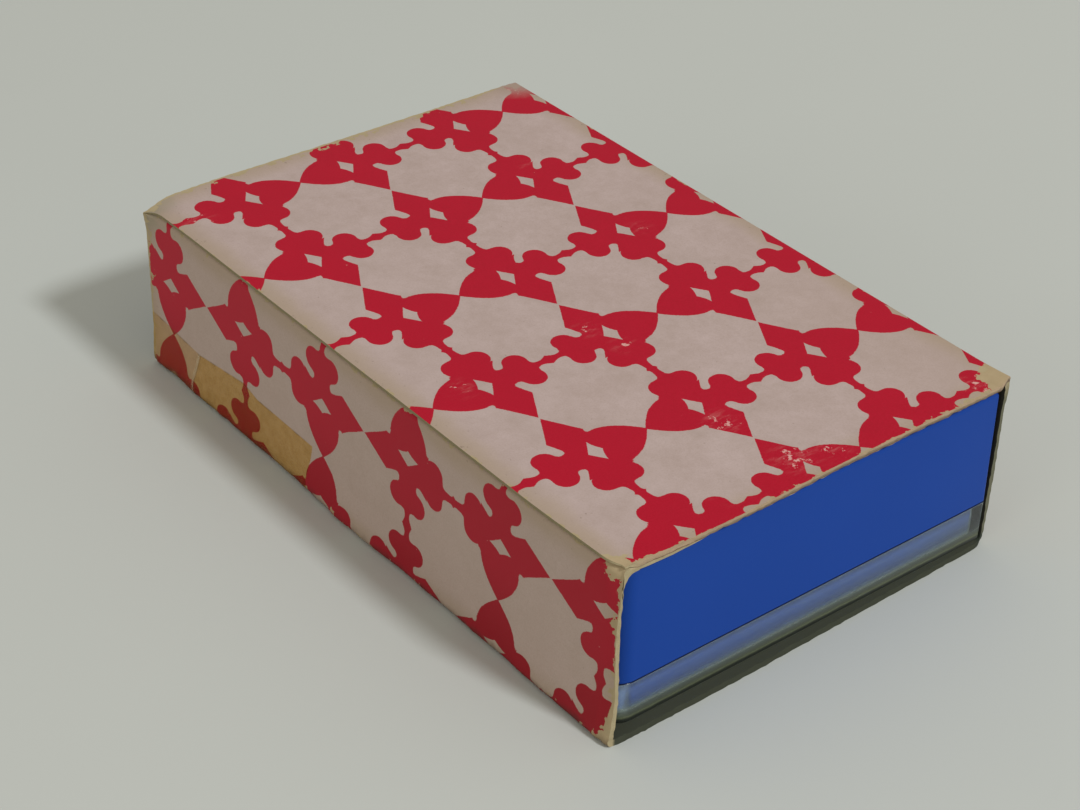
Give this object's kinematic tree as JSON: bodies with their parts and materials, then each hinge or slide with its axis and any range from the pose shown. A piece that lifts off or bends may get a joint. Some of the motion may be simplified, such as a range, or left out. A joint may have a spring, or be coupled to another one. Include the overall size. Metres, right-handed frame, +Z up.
{
  "type": "playing card deck",
  "caption": "Deck of playing cards in a two-piece moulded case that slides in and out of an open-ended printed board slip sleeve.",
  "frame": {"origin": "middle of the sleeve's underside, which rests on the table", "axes": "+Z up, +Y along the deck from the pictured open end to the other, +X across it to the right seen from that end"},
  "size_m": [0.0651, 0.101, 0.026],
  "materials": {
    "sleeve_board": "printed uncoated board, worn",
    "tape": "yellowed clear film",
    "blue_plastic": "satin moulded styrene",
    "clear_plastic": "clear moulded styrene, lightly scuffed",
    "card_stock": "fine linen-pressed plastic, printed"
  },
  "bodies": {
    "sleeve": {"sleeve": "sleeve_board", "tape_strip": "tape"},
    "case": {"case_tray": "blue_plastic", "case_lid": "clear_plastic", "card_spades_ace": "card_stock", "card_spades_02": "card_stock", "card_spades_03": "card_stock", "card_spades_04": "card_stock", "card_spades_05": "card_stock", "card_spades_06": "card_stock", "card_spades_07": "card_stock", "card_spades_08": "card_stock", "card_spades_09": "card_stock", "card_spades_10": "card_stock", "card_spades_jack": "card_stock", "card_spades_queen": "card_stock", "card_spades_king": "card_stock", "card_hearts_ace": "card_stock", "card_hearts_02": "card_stock", "card_hearts_03": "card_stock", "card_hearts_04": "card_stock", "card_hearts_05": "card_stock", "card_hearts_06": "card_stock", "card_hearts_07": "card_stock", "card_hearts_08": "card_stock", "card_hearts_09": "card_stock", "card_hearts_10": "card_stock", "card_hearts_jack": "card_stock", "card_hearts_queen": "card_stock", "card_hearts_king": "card_stock", "card_diamonds_ace": "card_stock", "card_diamonds_02": "card_stock", "card_diamonds_03": "card_stock", "card_diamonds_04": "card_stock", "card_diamonds_05": "card_stock", "card_diamonds_06": "card_stock", "card_diamonds_07": "card_stock", "card_diamonds_08": "card_stock", "card_diamonds_09": "card_stock", "card_diamonds_10": "card_stock", "card_diamonds_jack": "card_stock", "card_diamonds_queen": "card_stock", "card_diamonds_king": "card_stock", "card_clubs_ace": "card_stock", "card_clubs_02": "card_stock", "card_clubs_03": "card_stock", "card_clubs_04": "card_stock", "card_clubs_05": "card_stock", "card_clubs_06": "card_stock", "card_clubs_07": "card_stock", "card_clubs_08": "card_stock", "card_clubs_09": "card_stock", "card_clubs_10": "card_stock", "card_clubs_jack": "card_stock", "card_clubs_queen": "card_stock", "card_clubs_king": "card_stock", "card_joker_red": "card_stock", "card_joker_black": "card_stock"}
  },
  "joints": [
    {"name": "case_slide", "type": "slide", "parent": "sleeve", "child": "case", "axis": [0, -1, 0], "range_m": [-0.101, 0.101]}
  ]
}
